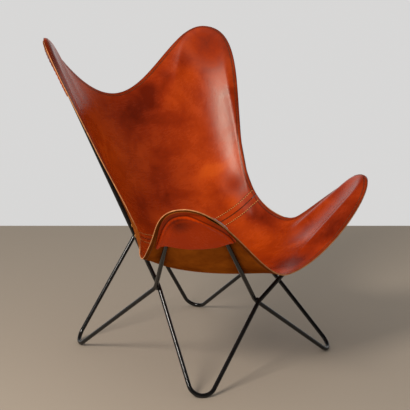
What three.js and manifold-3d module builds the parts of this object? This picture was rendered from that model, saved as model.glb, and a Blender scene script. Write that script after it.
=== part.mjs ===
// Butterfly sling chair, in millimetres. +Z is up, the sitter looks along -Y and +X is the sitter's left.
// Two bent steel rod loops cross at four welds and stand on four foot bends. A leather sling, sewn from
// a seat panel and a back panel, hangs on the four upper bends by pockets sewn under its corners.
import * as THREE from "three";
import { mergeVertices } from "three/addons/utils/BufferGeometryUtils.js";
import Module from "manifold-3d";

// Rod and its bends
const ROD_DIAMETER = 12;
const FOOT_BEND_RADIUS = 36;
const FRONT_PEAK_BEND_RADIUS = 64;
const BACK_PEAK_BEND_RADIUS = 64;
const CROSSING_BEND_RADIUS = 50;
const FOOT_FLAT_DEPTH = 0.4;

// Centres of the bends on the left half, where the height of a foot bend follows from the floor
const FRONT_FOOT_X = 238;
const FRONT_FOOT_Y = -254;
const BACK_FOOT_X = 223;
const BACK_FOOT_Y = 257;
const FRONT_PEAK_X = 293;
const FRONT_PEAK_Y = -288;
const FRONT_PEAK_Z = 459;
const BACK_PEAK_X = 276;
const BACK_PEAK_Y = 280;
const BACK_PEAK_Z = 825;

// Points where the two loops cross, midway between the rods
const FRONT_CROSSING_Y = -227;
const FRONT_CROSSING_Z = 197;
const BACK_CROSSING_Y = 257;
const BACK_CROSSING_Z = 339;
const SIDE_CROSSING_X = 212;
const SIDE_CROSSING_Y = -49;
const SIDE_CROSSING_Z = 243;

// Weld beads at the crossings
const WELD_ROOT_GAP = 1;
const WELD_LENGTH = 19;
const WELD_WIDTH = 15;
const WELD_HEIGHT = 11;

// Leather, and the clearance between pieces that touch
const LEATHER_THICKNESS = 3.6;
const POCKET_THICKNESS = 2.4;
const STRIP_THICKNESS = 1.6;
const TOUCH_GAP = 0.3;
const STRIP_GAP = 0.5;

// Edge of the sling: how far it stands past the rods at the tips, and where it dips between them
const FRONT_TIP_OVERHANG = 26;
const BACK_TIP_OVERHANG = 21;
const FRONT_DIP_REACH = 132;
const FRONT_DIP_RISE = 109;
const TOP_DIP_REACH = 88;
const TOP_DIP_DROP = 113;
const SIDE_DIP_OUT = 80;
const SIDE_DIP_REACH = 35;
const SIDE_DIP_RISE = 108;
const SIDE_DIP_TURN = THREE.MathUtils.degToRad(39);
const SIDE_DIP_PITCH = THREE.MathUtils.degToRad(12);

// Length of the curve handles along the edge, which set how round each stretch runs
const FRONT_DIP_HANDLE = 140;
const FRONT_TIP_FRONT_HANDLE = 102;
const FRONT_TIP_SIDE_HANDLE = 117;
const SIDE_DIP_FRONT_HANDLE = 32;
const SIDE_DIP_BACK_HANDLE = 262;
const BACK_TIP_SIDE_HANDLE = 205;
const BACK_TIP_TOP_HANDLE = 95;
const TOP_DIP_HANDLE = 134;

// The ridge that a rod raises in the leather over it: its flat top, the fall of its sides and its depth
const RIDGE_WIDTH = 70;
const RIDGE_SLOPE = 1;
const RIDGE_DEPTH = 60;

// How deep the hung leather bellies, as the radius of a ball of the same curvature. The seat's sides belly
// more, about a place on the seat's rows from the front to the seam and over a spread of them.
const SEAT_BELLY_RADIUS = 427;
const BACK_BELLY_RADIUS = 543;
const SIDE_BELLY_RADIUS = 83;
const SIDE_BELLY_PLACE = 0.69;
const SIDE_BELLY_SPREAD = 0.28;

// Seam between the panels, measured along the side edge behind its dip, how far it bows forward in the
// middle, and the strip sewn under it
const SEAM_BEHIND_DIP = 134;
const SEAM_BOW = 27;
const SEAM_GAP = 0.4;
const STRIP_WIDTH = 48;

// Pockets: how far they run along the edges from a tip, how hollow their mouths are cut, how wide their
// tails end and how they swell
const POCKET_ALONG_FRONT = 215;
const POCKET_ALONG_FRONT_SIDE = 215;
const POCKET_ALONG_TOP = 190;
const POCKET_ALONG_SIDE = 180;
const POCKET_MOUTH_HOLLOW = 1.8;
const POCKET_TAIL_WIDTH = 26;
const POCKET_SWELL_WIDTH = 14;
const POCKET_TAIL_TAPER = 0.3;
const POCKET_TAIL_SLACK = 2.5;

// Fineness of the facets
const ROD_SIDES = 12;
const BEND_STEPS = 12;
const CROSSING_STEPS = 4;
const HALF_COLUMNS = 12;
const SEAT_ROWS = 14;
const BACK_ROWS = 18;
const STRIP_END_COLUMNS = 4;
const POCKET_RINGS = 5;
const SETTLING_ROUNDS = 1500;
const FITTING_ROUNDS = 6;

const ROD_RADIUS = ROD_DIAMETER / 2;
const ROWS = SEAT_ROWS + BACK_ROWS;
const LEFT = 1;
const RIGHT = -1;
const UP = new THREE.Vector3(0, 0, 1);
const vec = (x, y, z) => new THREE.Vector3(x, y, z);
const mirrored = (point) => vec(-point.x, point.y, point.z);
const direction = (from, to) => to.clone().sub(from).normalize();

const wasm = await Module();
wasm.setup();

function geometryFrom(points, triangles) {
  const geometry = new THREE.BufferGeometry().setFromPoints(points);
  geometry.setIndex(triangles);
  return geometry;
}

function solidFrom(geometry) {
  const bare = geometry.clone();
  bare.deleteAttribute("normal");
  bare.deleteAttribute("uv");
  const merged = mergeVertices(bare);
  const vertProperties = new Float32Array(merged.attributes.position.array);
  const triVerts = new Uint32Array(merged.index.array);
  return new wasm.Manifold(new wasm.Mesh({ numProp: 3, vertProperties, triVerts }));
}

function geometryOf(solid) {
  const mesh = solid.getMesh();
  const geometry = new THREE.BufferGeometry();
  geometry.setAttribute("position", new THREE.BufferAttribute(mesh.vertProperties, 3));
  geometry.setIndex(new THREE.BufferAttribute(mesh.triVerts, 1));
  return geometry;
}

// A round bend about a centre, met by straight legs that come from one point and leave for another.
function bendBetween(centre, radius, from, to) {
  const legs = [from, to].map((point) => point.clone().sub(centre));
  const [first, last] = legs.map((leg, k) => {
    const along = leg.clone().normalize();
    const other = legs[1 - k];
    const away = along.clone().multiplyScalar(other.dot(along)).sub(other).normalize();
    const turn = Math.acos(radius / leg.length());
    return along.multiplyScalar(Math.cos(turn)).addScaledVector(away, Math.sin(turn));
  });
  const axis = first.clone().cross(last).normalize();
  const sweep = first.angleTo(last);
  const points = [];
  for (let k = 0; k <= BEND_STEPS; k += 1) {
    const spoke = first.clone().applyAxisAngle(axis, (sweep * k) / BEND_STEPS);
    points.push(centre.clone().addScaledVector(spoke, radius));
  }
  return { centre, radius, from, to, axis, points, outward: first.clone().add(last).normalize() };
}

// The slight bend of a rod at a crossing, whose middle passes through a given point.
function kinkThrough(middle, before, after) {
  let corner = middle;
  let half = 0;
  let inward = vec(0, 0, 0);
  for (let round = 0; round < FITTING_ROUNDS; round += 1) {
    const arriving = direction(before, corner);
    const leaving = direction(corner, after);
    half = arriving.angleTo(leaving) / 2;
    inward = leaving.clone().sub(arriving).normalize();
    corner = middle.clone().addScaledVector(inward, -CROSSING_BEND_RADIUS * (1 / Math.cos(half) - 1));
  }
  const centre = middle.clone().addScaledVector(inward, CROSSING_BEND_RADIUS);
  const axis = direction(before, corner).cross(direction(corner, after)).normalize();
  const points = [];
  for (let k = 0; k <= CROSSING_STEPS; k += 1) {
    const angle = half * ((2 * k) / CROSSING_STEPS - 1);
    const spoke = inward.clone().negate().applyAxisAngle(axis, angle);
    points.push(centre.clone().addScaledVector(spoke, CROSSING_BEND_RADIUS));
  }
  return { corner, points };
}

const frontPeak = (side) => vec(side * FRONT_PEAK_X, FRONT_PEAK_Y, FRONT_PEAK_Z);
const backPeak = (side) => vec(side * BACK_PEAK_X, BACK_PEAK_Y, BACK_PEAK_Z);
const frontFoot = (side) => vec(side * FRONT_FOOT_X, FRONT_FOOT_Y, FOOT_BEND_RADIUS);
const backFoot = (side) => vec(side * BACK_FOOT_X, BACK_FOOT_Y, FOOT_BEND_RADIUS);
const CROSSINGS = {
  front: vec(0, FRONT_CROSSING_Y, FRONT_CROSSING_Z),
  back: vec(0, BACK_CROSSING_Y, BACK_CROSSING_Z),
  left: vec(SIDE_CROSSING_X, SIDE_CROSSING_Y, SIDE_CROSSING_Z),
  right: vec(-SIDE_CROSSING_X, SIDE_CROSSING_Y, SIDE_CROSSING_Z),
};

// Square to both rods of a crossing, pointing away from the chair's middle.
function crossingNormal(name) {
  const climbs = {
    front: [direction(frontFoot(LEFT), frontPeak(RIGHT)), direction(frontFoot(RIGHT), frontPeak(LEFT))],
    back: [direction(backFoot(LEFT), backPeak(RIGHT)), direction(backFoot(RIGHT), backPeak(LEFT))],
    left: [direction(backFoot(LEFT), frontPeak(LEFT)), direction(frontFoot(LEFT), backPeak(LEFT))],
    right: [direction(backFoot(RIGHT), frontPeak(RIGHT)), direction(frontFoot(RIGHT), backPeak(RIGHT))],
  };
  const normal = climbs[name][0].clone().cross(climbs[name][1]).normalize();
  const outside = vec(CROSSINGS[name].x, CROSSINGS[name].y, 0);
  return normal.dot(outside) < 0 ? normal.negate() : normal;
}

function rodAt(name, layer) {
  const apart = ROD_DIAMETER + WELD_ROOT_GAP;
  return CROSSINGS[name].clone().addScaledVector(crossingNormal(name), (layer * apart) / 2);
}

// One closed loop of rod: it falls from a front peak to the back foot on that side, climbs to the other
// back peak, falls to the other front foot and climbs back. Layers say on which side it passes its partner.
function frameLoop(side, layers) {
  const near = side === LEFT ? "left" : "right";
  const far = side === LEFT ? "right" : "left";
  const middles = [
    rodAt(near, layers.near),
    rodAt("back", layers.back),
    rodAt(far, layers.far),
    rodAt("front", layers.front),
  ];
  const centres = [frontPeak(side), backFoot(side), backPeak(-side), frontFoot(-side)];
  const radii = [FRONT_PEAK_BEND_RADIUS, FOOT_BEND_RADIUS, BACK_PEAK_BEND_RADIUS, FOOT_BEND_RADIUS];
  let corners = middles;
  let bends = [];
  let kinks = [];
  for (let round = 0; round < FITTING_ROUNDS; round += 1) {
    bends = centres.map((centre, k) => bendBetween(centre, radii[k], corners[(k + 3) % 4], corners[k]));
    kinks = middles.map((middle, k) => {
      const next = bends[(k + 1) % 4];
      return kinkThrough(middle, bends[k].points.at(-1), next.points[0]);
    });
    corners = kinks.map((kink) => kink.corner);
    for (const k of [1, 3]) {
      const drop = Math.sqrt(1 - bends[k].axis.z ** 2);
      centres[k].z = ROD_RADIUS - FOOT_FLAT_DEPTH + FOOT_BEND_RADIUS * drop;
    }
  }
  const line = bends.flatMap((bend, k) => [...bend.points, ...kinks[k].points]);
  return { line, frontBend: bends[0], backBend: bends[2] };
}

// A round bar swept along a closed line, with its rings carried round without twist.
function closedBar(line, radius) {
  const count = line.length;
  const tangents = line.map((point, k) => {
    const arriving = direction(line[(k + count - 1) % count], point);
    return arriving.add(direction(point, line[(k + 1) % count])).normalize();
  });
  const carried = [UP.clone().cross(tangents[0]).normalize()];
  for (let k = 1; k <= count; k += 1) {
    const turn = new THREE.Quaternion().setFromUnitVectors(tangents[k - 1], tangents[k % count]);
    carried.push(carried[k - 1].clone().applyQuaternion(turn));
  }
  const open = carried[count].angleTo(carried[0]);
  const twist = carried[count].clone().cross(carried[0]).dot(tangents[0]) < 0 ? -open : open;
  const points = [];
  const triangles = [];
  for (let k = 0; k < count; k += 1) {
    for (let side = 0; side < ROD_SIDES; side += 1) {
      const angle = (2 * Math.PI * side) / ROD_SIDES + (twist * k) / count;
      const spoke = carried[k].clone().applyAxisAngle(tangents[k], angle);
      points.push(line[k].clone().addScaledVector(spoke, radius));
      const next = (side + 1) % ROD_SIDES;
      const here = k * ROD_SIDES;
      const ahead = ((k + 1) % count) * ROD_SIDES;
      triangles.push(here + side, here + next, ahead + next);
      triangles.push(here + side, ahead + next, ahead + side);
    }
  }
  return geometryFrom(points, triangles);
}

// The foot bends are filed flat where they stand on the floor.
function filedFeet(bar) {
  const depth = 2 * ROD_DIAMETER;
  const span = 4 * Math.max(FRONT_PEAK_X, BACK_PEAK_X, -FRONT_PEAK_Y, BACK_PEAK_Y);
  const below = new THREE.BoxGeometry(span, span, depth).translate(0, 0, -depth / 2);
  return geometryOf(solidFrom(bar).subtract(solidFrom(below)));
}

// A weld bead: a flattened drop of metal that fills the corners between two crossing rods.
function weldBead(name, bars) {
  const normal = crossingNormal(name);
  const across = normal.clone().cross(UP).normalize();
  const upright = across.clone().cross(normal);
  const drop = new THREE.SphereGeometry(0.5, 16, 10).scale(WELD_WIDTH, WELD_LENGTH, WELD_HEIGHT);
  const place = new THREE.Matrix4().makeBasis(across.negate(), upright, normal).setPosition(CROSSINGS[name]);
  let bead = solidFrom(drop.applyMatrix4(place));
  for (const bar of bars) {
    bead = bead.subtract(solidFrom(bar));
  }
  return geometryOf(bead);
}

// Moves a point to the sitter's side of a lobe of rod, or with face -1 to its outer side. The rod makes
// a ridge with a flat top and falling sides.
function keepClear(point, lobe, clearance, face = 1) {
  let nearest = Infinity;
  let height = 0;
  for (let k = 1; k < lobe.line.length; k += 1) {
    const stretch = new THREE.Line3(lobe.line[k - 1], lobe.line[k]);
    const offset = point.clone().sub(stretch.closestPointToPoint(point, true, vec(0, 0, 0)));
    const above = offset.dot(lobe.inward);
    const beside = Math.sqrt(Math.max(0, offset.lengthSq() - above ** 2));
    if (beside < nearest) {
      nearest = beside;
      height = above * face;
    }
  }
  const ridge = clearance - RIDGE_SLOPE * Math.max(0, nearest - RIDGE_WIDTH / 2);
  if (height < ridge && height > -RIDGE_DEPTH) {
    point.addScaledVector(lobe.inward, face * (ridge - height));
  }
}

// The upper part of a loop round one peak: its line and the way its plane faces the sitter.
function lobeOf(bend) {
  const toAxis = vec(-bend.centre.x, -bend.centre.y, 0);
  const inward = bend.axis.clone().multiplyScalar(Math.sign(bend.axis.dot(toAxis)));
  return { bend, inward, line: [bend.from, ...bend.points, bend.to] };
}

// A lobe of the right half, turned over to the left half.
function mirroredLobe(lobe) {
  return { inward: mirrored(lobe.inward), line: lobe.line.map(mirrored) };
}

// The way the sling's edge runs over a lobe of the left half, towards the chair's middle plane.
function edgeWay(lobe) {
  const way = lobe.inward.clone().cross(lobe.bend.outward).normalize();
  return way.x > 0 ? way.negate() : way;
}

const loopA = frameLoop(RIGHT, { near: 1, back: -1, far: -1, front: -1 });
const loopB = frameLoop(LEFT, { near: 1, back: 1, far: -1, front: 1 });
const frontLobe = lobeOf(loopB.frontBend);
const backLobe = lobeOf(loopA.backBend);
const frontLobes = [frontLobe, mirroredLobe(lobeOf(loopA.frontBend))];
const backLobes = [backLobe, mirroredLobe(lobeOf(loopB.backBend))];
const LEATHER_CLEAR = ROD_RADIUS + TOUCH_GAP + LEATHER_THICKNESS / 2;

// Leather that would sink below the rods lies on them instead.
function liftOverRods(point) {
  for (const lobe of [...frontLobes, ...backLobes]) {
    keepClear(point, lobe, LEATHER_CLEAR);
  }
}

// The tip of the sling's edge over a peak, resting on the rod.
function tipOver(lobe, overhang) {
  const tip = lobe.bend.centre.clone().addScaledVector(lobe.bend.outward, lobe.bend.radius + overhang);
  return tip.addScaledVector(lobe.inward, LEATHER_CLEAR);
}

// Left half of the sling as rows of points, from the middle line out to the side edge. The edge is held, and
// the leather between hangs like a skin that is pulled evenly, pressed down by its belly and held up by rods.
function hangSling() {
  const frontDip = vec(0, FRONT_CROSSING_Y - FRONT_DIP_REACH, FRONT_CROSSING_Z + FRONT_DIP_RISE);
  const topDip = vec(0, BACK_PEAK_Y + TOP_DIP_REACH, BACK_PEAK_Z - TOP_DIP_DROP);
  const sideDip = vec(
    SIDE_CROSSING_X + SIDE_DIP_OUT,
    SIDE_CROSSING_Y - SIDE_DIP_REACH,
    SIDE_CROSSING_Z + SIDE_DIP_RISE,
  );
  const frontTip = tipOver(frontLobe, FRONT_TIP_OVERHANG);
  const backTip = tipOver(backLobe, BACK_TIP_OVERHANG);
  const out = vec(1, 0, 0);
  const back = vec(
    -Math.sin(SIDE_DIP_TURN),
    Math.cos(SIDE_DIP_TURN) * Math.cos(SIDE_DIP_PITCH),
    Math.cos(SIDE_DIP_TURN) * Math.sin(SIDE_DIP_PITCH),
  );
  const stretch = (from, fromWay, fromHandle, to, toWay, toHandle) =>
    new THREE.CubicBezierCurve3(
      from,
      from.clone().addScaledVector(fromWay, fromHandle),
      to.clone().addScaledVector(toWay, toHandle),
      to,
    );
  const frontWay = edgeWay(frontLobe);
  const topWay = edgeWay(backLobe);
  const frontEdge = stretch(frontDip, out, FRONT_DIP_HANDLE, frontTip, frontWay, FRONT_TIP_FRONT_HANDLE);
  const topEdge = stretch(topDip, out, TOP_DIP_HANDLE, backTip, topWay, BACK_TIP_TOP_HANDLE);
  const sideEdge = new THREE.CurvePath();
  sideEdge.add(stretch(frontTip, frontWay, -FRONT_TIP_SIDE_HANDLE, sideDip, back, -SIDE_DIP_FRONT_HANDLE));
  sideEdge.add(stretch(sideDip, back, SIDE_DIP_BACK_HANDLE, backTip, topWay, -BACK_TIP_SIDE_HANDLE));
  const seamShare = (sideEdge.curves[0].getLength() + SEAM_BEHIND_DIP) / sideEdge.getLength();
  const shareOf = (row) => {
    const seat = Math.min(row, SEAT_ROWS) / SEAT_ROWS;
    const rest = Math.max(row - SEAT_ROWS, 0) / BACK_ROWS;
    return seamShare * seat + (1 - seamShare) * rest;
  };

  const sheet = [];
  for (let row = 0; row <= ROWS; row += 1) {
    const share = shareOf(row);
    const middle = new THREE.Vector3().lerpVectors(frontDip, topDip, share);
    const edge = sideEdge.getPoint(share);
    liftOverRods(edge);
    sheet.push([]);
    for (let column = 0; column <= HALF_COLUMNS; column += 1) {
      const across = column / HALF_COLUMNS;
      sheet[row].push(new THREE.Vector3().lerpVectors(middle, edge, across));
    }
  }
  for (let column = 0; column <= HALF_COLUMNS; column += 1) {
    sheet[0][column].copy(frontEdge.getPoint(column / HALF_COLUMNS));
    sheet[ROWS][column].copy(topEdge.getPoint(column / HALF_COLUMNS));
    liftOverRods(sheet[0][column]);
    liftOverRods(sheet[ROWS][column]);
  }
  settle(sheet);
  return bowSeam(sheet);
}

// Lets the leather find its hung shape between its edges.
function settle(sheet) {
  for (let round = 0; round < SETTLING_ROUNDS; round += 1) {
    for (let row = 1; row < ROWS; row += 1) {
      const toBack = THREE.MathUtils.smoothstep(row, SEAT_ROWS / 2, SEAT_ROWS + BACK_ROWS / 2);
      const middle = THREE.MathUtils.lerp(1 / SEAT_BELLY_RADIUS, 1 / BACK_BELLY_RADIUS, toBack);
      const fromPlace = (row / SEAT_ROWS - SIDE_BELLY_PLACE) / SIDE_BELLY_SPREAD;
      const side = Math.exp(-(fromPlace ** 2)) / SIDE_BELLY_RADIUS;
      for (let column = 0; column < HALF_COLUMNS; column += 1) {
        const press = (middle + side * (column / HALF_COLUMNS) ** 3) / 2;
        const point = sheet[row][column];
        const outer = sheet[row][column + 1];
        const inner = column > 0 ? sheet[row][column - 1] : mirrored(sheet[row][1]);
        const ahead = sheet[row - 1][column];
        const behind = sheet[row + 1][column];
        const along = behind.clone().sub(ahead).divideScalar(2);
        const across = outer.clone().sub(inner).divideScalar(2);
        const mean = outer.clone().add(inner).add(ahead).add(behind).divideScalar(4);
        point.copy(mean.addScaledVector(along.cross(across), press));
        liftOverRods(point);
        if (column === 0) {
          point.x = 0;
        }
      }
    }
  }
}

// Shifts the rows along the hung leather, so that the seam's row bows forward in the middle.
function bowSeam(sheet) {
  const bowed = sheet.map((row) => row.map((point) => point.clone()));
  for (let column = 0; column < HALF_COLUMNS; column += 1) {
    const cell = sheet[SEAT_ROWS][column].distanceTo(sheet[SEAT_ROWS - 1][column]);
    const bow = (SEAM_BOW / cell) * (1 - (column / HALF_COLUMNS) ** 2);
    for (let row = 1; row < ROWS; row += 1) {
      const share = row < SEAT_ROWS ? row / SEAT_ROWS : (ROWS - row) / BACK_ROWS;
      bowed[row][column].copy(between(sheet, row - bow * share, column));
      liftOverRods(bowed[row][column]);
    }
  }
  return bowed;
}

const halfSheet = hangSling();
const COLUMNS = 2 * HALF_COLUMNS;
const fullSheet = halfSheet.map((row) => [...row.slice(1).reverse().map(mirrored), ...row]);

// Unit normals of a grid of points, towards the sitter.
function normalsOf(grid) {
  return grid.map((row, j) =>
    row.map((point, i) => {
      const across = row[Math.min(i + 1, row.length - 1)].clone().sub(row[Math.max(i - 1, 0)]);
      const along = grid[Math.min(j + 1, grid.length - 1)][i].clone().sub(grid[Math.max(j - 1, 0)][i]);
      return across.cross(along).normalize();
    }),
  );
}
const sheetNormals = normalsOf(fullSheet);

// A closed sheet of even thickness about a grid of middle points.
function sheetSolid(grid, normals, thickness) {
  const wide = grid[0].length;
  const points = [];
  for (const face of [1, -1]) {
    const offset = (face * thickness) / 2;
    grid.forEach((row, j) =>
      row.forEach((point, i) => points.push(point.clone().addScaledVector(normals[j][i], offset))),
    );
  }
  const lower = grid.length * wide;
  const triangles = [];
  const quad = (a, b, c, d) => triangles.push(a, b, c, a, c, d);
  for (let j = 0; j + 1 < grid.length; j += 1) {
    for (let i = 0; i + 1 < wide; i += 1) {
      const a = j * wide + i;
      quad(a, a + 1, a + wide + 1, a + wide);
      quad(lower + a, lower + a + wide, lower + a + wide + 1, lower + a + 1);
    }
  }
  const rim = [];
  for (let i = 0; i + 1 < wide; i += 1) {
    rim.push(i);
  }
  for (let j = 0; j + 1 < grid.length; j += 1) {
    rim.push(j * wide + wide - 1);
  }
  for (let i = wide - 1; i > 0; i -= 1) {
    rim.push((grid.length - 1) * wide + i);
  }
  for (let j = grid.length - 1; j > 0; j -= 1) {
    rim.push(j * wide);
  }
  rim.forEach((a, k) => {
    const b = rim[(k + 1) % rim.length];
    quad(a, lower + a, lower + b, b);
  });
  return geometryFrom(points, triangles);
}

// The panel between two rows of the sling, drawn back from the seam by half its gap.
function panel(firstRow, lastRow) {
  const grid = fullSheet.slice(firstRow, lastRow + 1).map((row) => row.map((point) => point.clone()));
  const seamRow = firstRow === 0 ? grid.length - 1 : 0;
  const nextRow = firstRow === 0 ? seamRow - 1 : 1;
  grid[seamRow].forEach((point, i) => {
    point.addScaledVector(direction(point, grid[nextRow][i]), SEAM_GAP / 2);
  });
  return sheetSolid(grid, sheetNormals.slice(firstRow, lastRow + 1), LEATHER_THICKNESS);
}

// The strip under the seam, which ends inside the rods that the sling's sides rest on.
function seamStrip() {
  const under = LEATHER_THICKNESS / 2 + STRIP_GAP + STRIP_THICKNESS / 2;
  const grid = [];
  const normals = [];
  for (const side of [-1, 0, 1]) {
    const row = SEAT_ROWS + side;
    grid.push([]);
    normals.push([]);
    for (let i = STRIP_END_COLUMNS; i <= COLUMNS - STRIP_END_COLUMNS; i += 1) {
      const seam = fullSheet[SEAT_ROWS][i];
      const share = STRIP_WIDTH / 2 / Math.max(seam.distanceTo(fullSheet[row][i]), STRIP_WIDTH / 2);
      const normal = sheetNormals[SEAT_ROWS][i].clone().lerp(sheetNormals[row][i], share).normalize();
      const point = seam.clone().lerp(fullSheet[row][i], share);
      grid.at(-1).push(point.addScaledVector(normal, -under));
      normals.at(-1).push(normal);
    }
  }
  return sheetSolid(grid, normals, STRIP_THICKNESS);
}

// A value read between the points of a grid.
function between(grid, row, column) {
  const j = Math.min(Math.floor(row), grid.length - 2);
  const i = Math.min(Math.floor(column), grid[0].length - 2);
  const near = grid[j][i].clone().lerp(grid[j][i + 1], column - i);
  const far = grid[j + 1][i].clone().lerp(grid[j + 1][i + 1], column - i);
  return near.lerp(far, row - j);
}

// A pocket: sewn to the sling's edge round a tip, it passes round the outside of the rod and ends in a hollow
// mouth. Its grid runs from the tail on the front or top edge, round the tip, to the tail on the side edge.
function pocket(lobes, tipRow, alongEnd, alongSide) {
  const halfNormals = normalsOf(halfSheet);
  const inwardRows = tipRow === 0 ? 1 : -1;
  let columns = 0;
  for (let run = 0; run < alongEnd; columns += 1) {
    const last = HALF_COLUMNS - columns;
    run += halfSheet[tipRow][last].distanceTo(halfSheet[tipRow][last - 1]);
  }
  let rows = 0;
  for (let run = 0; run < alongSide; rows += 1) {
    const from = halfSheet[tipRow + inwardRows * rows][HALF_COLUMNS];
    run += from.distanceTo(halfSheet[tipRow + inwardRows * (rows + 1)][HALF_COLUMNS]);
  }
  const cell = alongSide / rows;
  const tail = POCKET_TAIL_WIDTH / cell;
  const under = LEATHER_THICKNESS / 2 + TOUCH_GAP + POCKET_THICKNESS / 2;
  const swell = ROD_DIAMETER + 2 * TOUCH_GAP;
  const clear = ROD_RADIUS + TOUCH_GAP + POCKET_THICKNESS / 2;
  const rimCount = columns + rows;
  const grid = [];
  for (let ring = 0; ring <= POCKET_RINGS; ring += 1) {
    grid.push([]);
    for (let k = 0; k <= rimCount; k += 1) {
      const rimColumn = Math.min(HALF_COLUMNS, HALF_COLUMNS - columns + k);
      const rimRow = Math.max(0, k - columns);
      const turn = ((k / rimCount) * Math.PI) / 2;
      const [beside, below] = [Math.cos(turn), Math.sin(turn)];
      const mouthColumn = HALF_COLUMNS - columns * beside ** POCKET_MOUTH_HOLLOW - tail * below;
      const mouthRow = rows * below ** POCKET_MOUTH_HOLLOW + tail * beside;
      const rim = between(halfSheet, tipRow + inwardRows * rimRow, rimColumn);
      const mouth = between(halfSheet, tipRow + inwardRows * mouthRow, mouthColumn);
      const wall = Math.min(POCKET_SWELL_WIDTH / rim.distanceTo(mouth), 2 / POCKET_RINGS);
      const share = ring === 0 ? 0 : THREE.MathUtils.lerp(wall, 1, (ring - 1) / (POCKET_RINGS - 1));
      const column = THREE.MathUtils.lerp(rimColumn, mouthColumn, share);
      const row = THREE.MathUtils.lerp(rimRow, mouthRow, share);
      const place = tipRow + inwardRows * row;
      const point = between(halfSheet, place, column);
      const normal = between(halfNormals, place, column).normalize();
      const taper = Math.sin(2 * turn) ** POCKET_TAIL_TAPER;
      const depth = ring === 0 ? under : under + THREE.MathUtils.lerp(POCKET_TAIL_SLACK, swell, taper);
      point.addScaledVector(normal, -depth);
      if (ring > 0) {
        for (const lobe of lobes) {
          keepClear(point, lobe, clear, -1);
        }
      }
      grid.at(-1).push(point);
    }
  }
  if (tipRow === 0) {
    grid.reverse();
  }
  return sheetSolid(grid, normalsOf(grid), POCKET_THICKNESS);
}

// The mirror image of a closed sheet, with its faces turned to point out again.
function mirroredSheet(geometry) {
  const twin = geometry.clone().scale(-1, 1, 1);
  const index = twin.index.array;
  for (let k = 0; k < index.length; k += 3) {
    [index[k], index[k + 1]] = [index[k + 1], index[k]];
  }
  return twin;
}

const blackRod = () => new THREE.MeshStandardMaterial({ color: 0x0b0b0c, roughness: 0.25, metalness: 0.4 });
const cognac = () => new THREE.MeshStandardMaterial({ color: 0x8f4320, roughness: 0.42, metalness: 0 });
const suede = () => new THREE.MeshStandardMaterial({ color: 0x6b3d22, roughness: 0.85, metalness: 0 });

const chair = new THREE.Group();
function place(name, geometry, material) {
  const piece = new THREE.Mesh(geometry, material);
  piece.name = name;
  chair.add(piece);
}

place("frame_loop_a", filedFeet(closedBar(loopA.line, ROD_RADIUS)), blackRod());
place("frame_loop_b", filedFeet(closedBar(loopB.line, ROD_RADIUS)), blackRod());
const grownBars = [loopA, loopB].map((loop) => closedBar(loop.line, ROD_RADIUS + TOUCH_GAP));
for (const name of Object.keys(CROSSINGS)) {
  place(`weld_${name}`, weldBead(name, grownBars), blackRod());
}
place("seat_panel", panel(0, SEAT_ROWS), cognac());
place("back_panel", panel(SEAT_ROWS, ROWS), cognac());
place("seam_strip", seamStrip(), suede());
const frontPocket = pocket(frontLobes, 0, POCKET_ALONG_FRONT, POCKET_ALONG_FRONT_SIDE);
const backPocket = pocket(backLobes, ROWS, POCKET_ALONG_TOP, POCKET_ALONG_SIDE);
place("pocket_front_left", frontPocket, cognac());
place("pocket_front_right", mirroredSheet(frontPocket), cognac());
place("pocket_back_left", backPocket, cognac());
place("pocket_back_right", mirroredSheet(backPocket), cognac());

export default chair;
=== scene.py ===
# Butterfly sling chair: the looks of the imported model, in metres and in its frame.
# Two bent rod loops, welded where they cross, carry a leather sling by four corner pockets.
import math

import bpy
import numpy as np
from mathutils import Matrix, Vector


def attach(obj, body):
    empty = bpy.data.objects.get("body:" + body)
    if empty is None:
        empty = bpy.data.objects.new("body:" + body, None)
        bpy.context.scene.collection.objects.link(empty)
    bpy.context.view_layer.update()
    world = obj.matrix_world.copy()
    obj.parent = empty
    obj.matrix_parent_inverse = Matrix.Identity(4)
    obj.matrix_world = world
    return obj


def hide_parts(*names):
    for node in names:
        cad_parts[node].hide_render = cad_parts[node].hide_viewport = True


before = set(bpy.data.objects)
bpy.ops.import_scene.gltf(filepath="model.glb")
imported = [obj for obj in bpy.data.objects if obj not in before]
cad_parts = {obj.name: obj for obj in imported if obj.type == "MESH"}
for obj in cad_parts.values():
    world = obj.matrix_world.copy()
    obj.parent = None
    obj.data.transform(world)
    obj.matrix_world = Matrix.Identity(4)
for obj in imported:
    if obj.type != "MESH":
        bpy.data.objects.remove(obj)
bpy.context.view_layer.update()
scene = bpy.context.scene
scene.view_settings.view_transform = "Standard"


# Camera
# It stands before the chair's right front corner, a little above the top of the back, and looks
# slightly down through a long lens.
CAMERA_PLACE = (-2.1186, -2.2108, 1.1772)
CAMERA_TURN = 0.7685
CAMERA_TILT = 0.2397
SENSOR, FOCAL_PIXELS, PICTURE_PIXELS = 36, 1103.72, 410
bpy.ops.object.select_all(action="DESELECT")
bpy.ops.object.camera_add(
    location=CAMERA_PLACE, rotation=(math.pi / 2 - CAMERA_TILT, 0, -CAMERA_TURN)
)
camera = bpy.context.object
camera.data.sensor_width = SENSOR
camera.data.lens = FOCAL_PIXELS / PICTURE_PIXELS * SENSOR
scene.camera = camera


# Floor and light
# A plain pale floor, a pale wall behind it that fades to a dim room above and before it, soft light all
# round and one high window light on the chair's right.
FLOOR_REACH, FLOOR_BEHIND = 9.0, 1.39
FLOOR_COLOUR, FLOOR_ROUGHNESS = (0.290, 0.240, 0.185, 1), 0.75
WALL_COLOUR, WALL_TOP = (0.685, 0.68, 0.675, 1), 0.10
CEILING_COLOUR, CEILING_FROM = (0.02, 0.02, 0.02, 1), 0.55
FILL_STRENGTH = 0.74
WINDOW_PLACE, WINDOW_AIM = (-2.12, -0.18, 2.05), (0, 0, 0.45)
WINDOW_SIZE = (0.90, 0.56)
WINDOW_POWER, WINDOW_COLOUR = 66, (1.0, 0.93, 0.86)


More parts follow.
